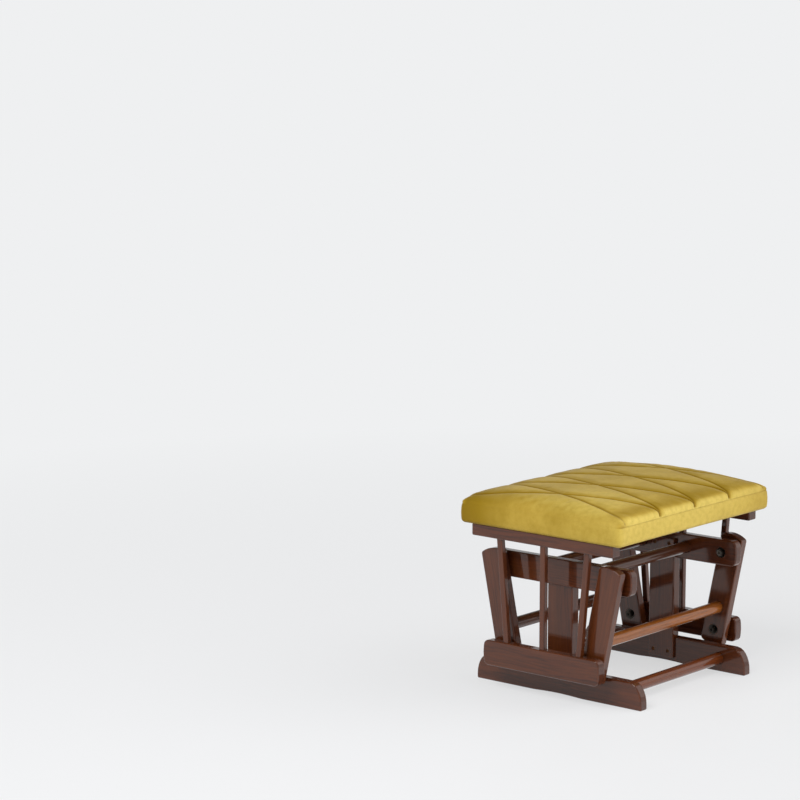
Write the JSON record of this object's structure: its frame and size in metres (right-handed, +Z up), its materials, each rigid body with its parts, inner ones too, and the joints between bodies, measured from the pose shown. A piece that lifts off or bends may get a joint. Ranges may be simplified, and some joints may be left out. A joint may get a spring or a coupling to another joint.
{
  "type": "glider ottoman",
  "caption": "Glider ottoman: a dark wood floor frame, four swing links on ball bearings, and a slatted seat frame with a quilted gold velvet cushion.",
  "frame": {"origin": "on the floor, in the middle of the ottoman's width and length", "axes": "+X to the ottoman's right, along its stretchers; +Y to its rear, along the glide; +Z up. The front (-Y) is the side that the picture shows at the lower right"},
  "size_m": [0.5242, 0.415, 0.414],
  "materials": {
    "walnut": "stained dark walnut, semi-gloss lacquer",
    "walnut_dowel": "stained dark walnut, semi-gloss lacquer, turned",
    "zinc_steel": "zinc plating, dulled",
    "bearing_steel": "ground, dark with oil",
    "bronzed_screw": "bronze coating",
    "plywood": "raw plywood",
    "foam": "open-cell foam",
    "velvet": "mustard velvet, quilted"
  },
  "bodies": {
    "base": {"foot_rail_left": "walnut", "foot_rail_right": "walnut", "crossbar_left": "walnut", "crossbar_right": "walnut", "post_left": "walnut", "post_right": "walnut", "top_dowel_front": "walnut_dowel", "top_dowel_rear": "walnut_dowel", "foot_dowel_front": "walnut_dowel", "foot_dowel_rear": "walnut_dowel", "post_screws_left": "bronzed_screw", "post_screws_right": "bronzed_screw", "upper_bearing_outer_rings": "bearing_steel", "upper_bearing_balls": "bearing_steel"},
    "front_swing": {"front_link_left": "walnut", "front_link_right": "walnut", "front_link_dowel": "walnut_dowel", "front_upper_bolts": "zinc_steel", "front_upper_washers": "zinc_steel", "front_upper_inner_rings": "bearing_steel", "front_upper_sleeves": "zinc_steel", "front_upper_inserts": "zinc_steel", "front_lower_outer_rings": "bearing_steel", "front_lower_balls": "bearing_steel"},
    "rear_swing": {"rear_link_left": "walnut", "rear_link_right": "walnut", "rear_link_dowel": "walnut_dowel", "rear_upper_bolts": "zinc_steel", "rear_upper_washers": "zinc_steel", "rear_upper_inner_rings": "bearing_steel", "rear_upper_sleeves": "zinc_steel", "rear_upper_inserts": "zinc_steel", "rear_lower_outer_rings": "bearing_steel"},
    "seat": {"lower_rail_left": "walnut", "lower_rail_right": "walnut", "top_rail_left": "walnut", "top_rail_right": "walnut", "spindle_left_front": "walnut", "spindle_left_middle": "walnut", "spindle_left_rear": "walnut", "spindle_right_front": "walnut", "spindle_right_middle": "walnut", "spindle_right_rear": "walnut", "cross_slat_front": "walnut", "cross_slat_rear": "walnut", "slat_screws": "bronzed_screw", "board_screws": "bronzed_screw", "lower_bolts": "zinc_steel", "lower_washers": "zinc_steel", "lower_inner_rings": "bearing_steel", "lower_sleeves": "zinc_steel", "lower_inserts": "zinc_steel", "cushion_board": "plywood", "foam_core": "foam", "cushion": "velvet"}
  },
  "joints": [
    {"name": "front_swing_hinge", "type": "hinge", "parent": "base", "child": "front_swing", "pos_m": [0, -0.143, 0.2525], "axis": [1, 0, 0], "range_deg": [-12, 12]},
    {"name": "rear_swing_hinge", "type": "hinge", "parent": "base", "child": "rear_swing", "pos_m": [0, 0.143, 0.2525], "axis": [1, 0, 0], "range_deg": [-12, 12]},
    {"name": "seat_hinge", "type": "hinge", "parent": "front_swing", "child": "seat", "pos_m": [0, -0.107, 0.0785], "axis": [1, 0, 0], "range_deg": [-16, 16]}
  ],
  "couplings": [
    {"joint": "rear_swing_hinge", "follows": "front_swing_hinge", "ratio": 1},
    {"joint": "seat_hinge", "follows": "front_swing_hinge", "ratio": -1.331}
  ]
}
